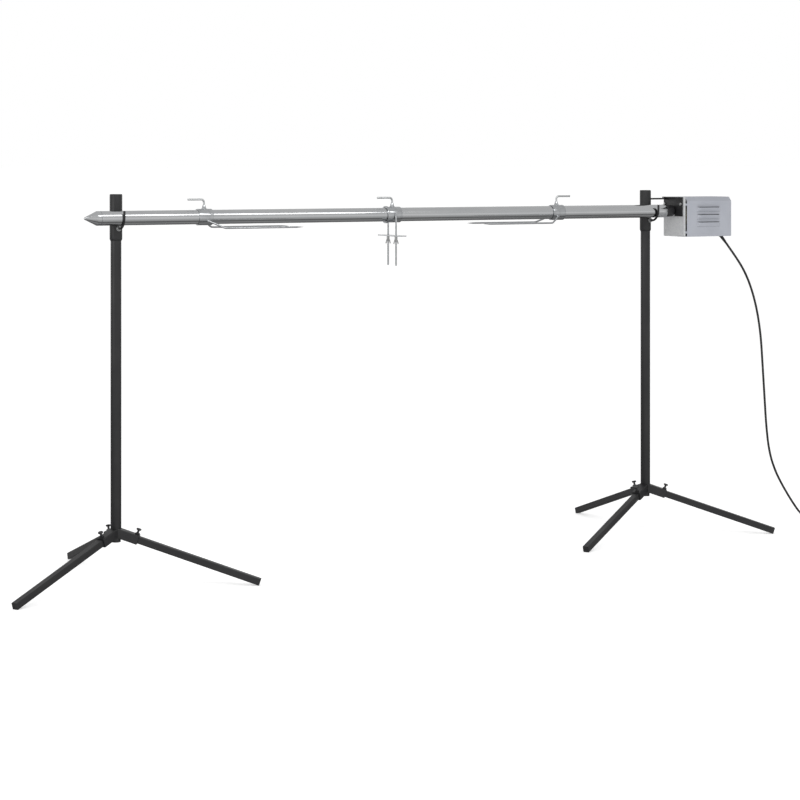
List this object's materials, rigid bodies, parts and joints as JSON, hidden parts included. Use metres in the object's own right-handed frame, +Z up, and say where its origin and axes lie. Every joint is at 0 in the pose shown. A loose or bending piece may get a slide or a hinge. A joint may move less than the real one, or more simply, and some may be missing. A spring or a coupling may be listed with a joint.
{
  "type": "spit rotisserie",
  "caption": "Free-standing spit rotisserie: a long steel spit turned by a gear motor, held by open hooks on tripod stands, with sliding meat forks and a spine clamp.",
  "frame": {"origin": "on the floor, at the middle of the box round the object without its cord", "axes": "+X along the spit towards the motor, +Y away from the user, +Z up"},
  "size_m": [2.7909, 0.5771, 1.013],
  "materials": {
    "black_powder_coat": "satin powder coat",
    "black_steel_rod": "black oxide",
    "zinc_fasteners": "zinc plated",
    "steel_forks": "bright stainless",
    "steel_cranks": "bright stainless",
    "black_plastic": "moulded",
    "black_screws": "black oxide",
    "polished_stainless": "polished",
    "black_coupling": "satin",
    "grey_cover": "satin paint",
    "galvanised_plate": "plain sheet",
    "turned_steel": "turned",
    "brass_bush": "sintered",
    "nylon_gears": "moulded",
    "copper_coil": "enamelled wire",
    "black_cord": "matte rubber"
  },
  "bodies": {
    "stand": {"left_hub": "black_powder_coat", "left_post": "black_powder_coat", "left_sleeve": "black_powder_coat", "left_hook": "black_steel_rod", "left_hook_nuts": "zinc_fasteners", "right_hub": "black_powder_coat", "right_post": "black_powder_coat", "right_sleeve": "black_powder_coat", "right_hook": "black_steel_rod", "right_hook_nuts": "zinc_fasteners"},
    "spit": {"spit_tube": "polished_stainless", "spit_tip": "polished_stainless", "drive_coupling": "black_coupling"},
    "left_fork": {"left_fork": "steel_forks"},
    "left_fork_screw": {"left_fork_screw": "steel_cranks"},
    "right_fork": {"right_fork": "steel_forks"},
    "right_fork_screw": {"right_fork_screw": "steel_cranks"},
    "spine_clamp": {"spine_clamp": "steel_forks"},
    "spine_clamp_screw": {"spine_clamp_screw": "steel_cranks"},
    "spine_plate": {"spine_plate": "steel_forks"},
    "front_wing_nut": {"front_wing_nut": "zinc_fasteners"},
    "back_wing_nut": {"back_wing_nut": "zinc_fasteners"},
    "motor": {"motor_cover": "grey_cover", "motor_end_plate": "galvanised_plate", "mount_bracket": "black_powder_coat", "bracket_screws": "zinc_fasteners", "cover_screws": "zinc_fasteners", "stay_rod": "black_powder_coat", "output_bush": "brass_bush", "cluster_pin": "turned_steel", "gear_plate": "galvanised_plate", "stator": "turned_steel", "field_coil": "copper_coil", "cord_gland": "black_cord", "power_cord": "black_cord", "cord_coil": "black_cord", "cord_tail": "black_cord", "plug": "black_cord"},
    "output": {"output_shaft": "turned_steel", "output_gear": "nylon_gears"},
    "cluster": {"cluster_gear": "nylon_gears"},
    "rotor": {"rotor": "turned_steel"},
    "left_stand_left_leg": {"left_stand_left_leg": "black_powder_coat", "left_stand_left_leg_plug": "black_plastic"},
    "left_stand_left_leg_screw": {"left_stand_left_leg_screw": "black_screws"},
    "left_stand_right_leg": {"left_stand_right_leg": "black_powder_coat", "left_stand_right_leg_plug": "black_plastic"},
    "left_stand_right_leg_screw": {"left_stand_right_leg_screw": "black_screws"},
    "left_stand_back_leg": {"left_stand_back_leg": "black_powder_coat", "left_stand_back_leg_plug": "black_plastic"},
    "left_stand_back_leg_screw": {"left_stand_back_leg_screw": "black_screws"},
    "right_stand_left_leg": {"right_stand_left_leg": "black_powder_coat", "right_stand_left_leg_plug": "black_plastic"},
    "right_stand_left_leg_screw": {"right_stand_left_leg_screw": "black_screws"},
    "right_stand_right_leg": {"right_stand_right_leg": "black_powder_coat", "right_stand_right_leg_plug": "black_plastic"},
    "right_stand_right_leg_screw": {"right_stand_right_leg_screw": "black_screws"},
    "right_stand_back_leg": {"right_stand_back_leg": "black_powder_coat", "right_stand_back_leg_plug": "black_plastic"},
    "right_stand_back_leg_screw": {"right_stand_back_leg_screw": "black_screws"}
  },
  "joints": [
    {"name": "spit_spin", "type": "hinge", "parent": "stand", "child": "spit", "pos_m": [0, -0.12703, 0.9515], "axis": [1, 0, 0], "continuous": true},
    {"name": "left_fork_slide", "type": "slide", "parent": "spit", "child": "left_fork", "axis": [1, 0, 0], "range_m": [-0.15, 0.2]},
    {"name": "left_fork_screw_turn", "type": "hinge", "parent": "left_fork", "child": "left_fork_screw", "pos_m": [-0.592, -0.12703, 0.9515], "axis": [0, 0, 1], "continuous": true},
    {"name": "right_fork_slide", "type": "slide", "parent": "spit", "child": "right_fork", "axis": [1, 0, 0], "range_m": [-0.2, 0.22]},
    {"name": "right_fork_screw_turn", "type": "hinge", "parent": "right_fork", "child": "right_fork_screw", "pos_m": [0.493, -0.12703, 0.9515], "axis": [0, 0, 1], "continuous": true},
    {"name": "spine_clamp_slide", "type": "slide", "parent": "spit", "child": "spine_clamp", "axis": [1, 0, 0], "range_m": [-0.1, 0.1]},
    {"name": "spine_clamp_screw_turn", "type": "hinge", "parent": "spine_clamp", "child": "spine_clamp_screw", "pos_m": [-0.036, -0.12703, 0.9515], "axis": [0, 0, 1], "continuous": true},
    {"name": "spine_plate_slide", "type": "slide", "parent": "spine_clamp", "child": "spine_plate", "axis": [0, 0, 1], "range_m": [-0.05, 0.03]},
    {"name": "front_wing_nut_turn", "type": "hinge", "parent": "spine_plate", "child": "front_wing_nut", "pos_m": [-0.036, -0.15103, 0.8937], "axis": [0, 0, 1], "continuous": true},
    {"name": "back_wing_nut_turn", "type": "hinge", "parent": "spine_plate", "child": "back_wing_nut", "pos_m": [-0.036, -0.10303, 0.8937], "axis": [0, 0, 1], "continuous": true},
    {"name": "left_stand_left_leg_slide", "type": "slide", "parent": "stand", "child": "left_stand_left_leg", "axis": [-0.8213, -0.4742, -0.3173], "range_m": [0, 0.035]},
    {"name": "left_stand_left_leg_screw_turn", "type": "hinge", "parent": "stand", "child": "left_stand_left_leg_screw", "pos_m": [-0.86817, -0.11711, 0.11718], "axis": [-0.2748, -0.1587, 0.9483], "continuous": true},
    {"name": "left_stand_right_leg_slide", "type": "slide", "parent": "stand", "child": "left_stand_right_leg", "axis": [0.8213, -0.4742, -0.3173], "range_m": [0, 0.035]},
    {"name": "left_stand_right_leg_screw_turn", "type": "hinge", "parent": "stand", "child": "left_stand_right_leg_screw", "pos_m": [-0.77783, -0.11711, 0.11718], "axis": [0.2748, -0.1587, 0.9483], "continuous": true},
    {"name": "left_stand_back_leg_slide", "type": "slide", "parent": "stand", "child": "left_stand_back_leg", "axis": [0, 0.9483, -0.3173], "range_m": [0, 0.035]},
    {"name": "left_stand_back_leg_screw_turn", "type": "hinge", "parent": "stand", "child": "left_stand_back_leg_screw", "pos_m": [-0.823, -0.03887, 0.11718], "axis": [0, 0.3173, 0.9483], "continuous": true},
    {"name": "right_stand_left_leg_slide", "type": "slide", "parent": "stand", "child": "right_stand_left_leg", "axis": [-0.8213, -0.4742, -0.3173], "range_m": [0, 0.035]},
    {"name": "right_stand_left_leg_screw_turn", "type": "hinge", "parent": "stand", "child": "right_stand_left_leg_screw", "pos_m": [0.77783, -0.11711, 0.11718], "axis": [-0.2748, -0.1587, 0.9483], "continuous": true},
    {"name": "right_stand_right_leg_slide", "type": "slide", "parent": "stand", "child": "right_stand_right_leg", "axis": [0.8213, -0.4742, -0.3173], "range_m": [0, 0.035]},
    {"name": "right_stand_right_leg_screw_turn", "type": "hinge", "parent": "stand", "child": "right_stand_right_leg_screw", "pos_m": [0.86817, -0.11711, 0.11718], "axis": [0.2748, -0.1587, 0.9483], "continuous": true},
    {"name": "right_stand_back_leg_slide", "type": "slide", "parent": "stand", "child": "right_stand_back_leg", "axis": [0, 0.9483, -0.3173], "range_m": [0, 0.035]},
    {"name": "right_stand_back_leg_screw_turn", "type": "hinge", "parent": "stand", "child": "right_stand_back_leg_screw", "pos_m": [0.823, -0.03887, 0.11718], "axis": [0, 0.3173, 0.9483], "continuous": true},
    {"name": "motor_pull", "type": "slide", "parent": "stand", "child": "motor", "axis": [1, 0, 0], "range_m": [0, 0.05]},
    {"name": "output_spin", "type": "hinge", "parent": "motor", "child": "output", "pos_m": [0, -0.12703, 0.9515], "axis": [1, 0, 0], "continuous": true},
    {"name": "cluster_spin", "type": "hinge", "parent": "motor", "child": "cluster", "pos_m": [0, -0.15314, 0.93642], "axis": [1, 0, 0], "continuous": true},
    {"name": "rotor_spin", "type": "hinge", "parent": "motor", "child": "rotor", "pos_m": [0, -0.12703, 0.92135], "axis": [1, 0, 0], "continuous": true}
  ],
  "couplings": [
    {"joint": "output_spin", "follows": "spit_spin", "ratio": 1},
    {"joint": "cluster_spin", "follows": "spit_spin", "ratio": -3},
    {"joint": "rotor_spin", "follows": "spit_spin", "ratio": 9}
  ]
}
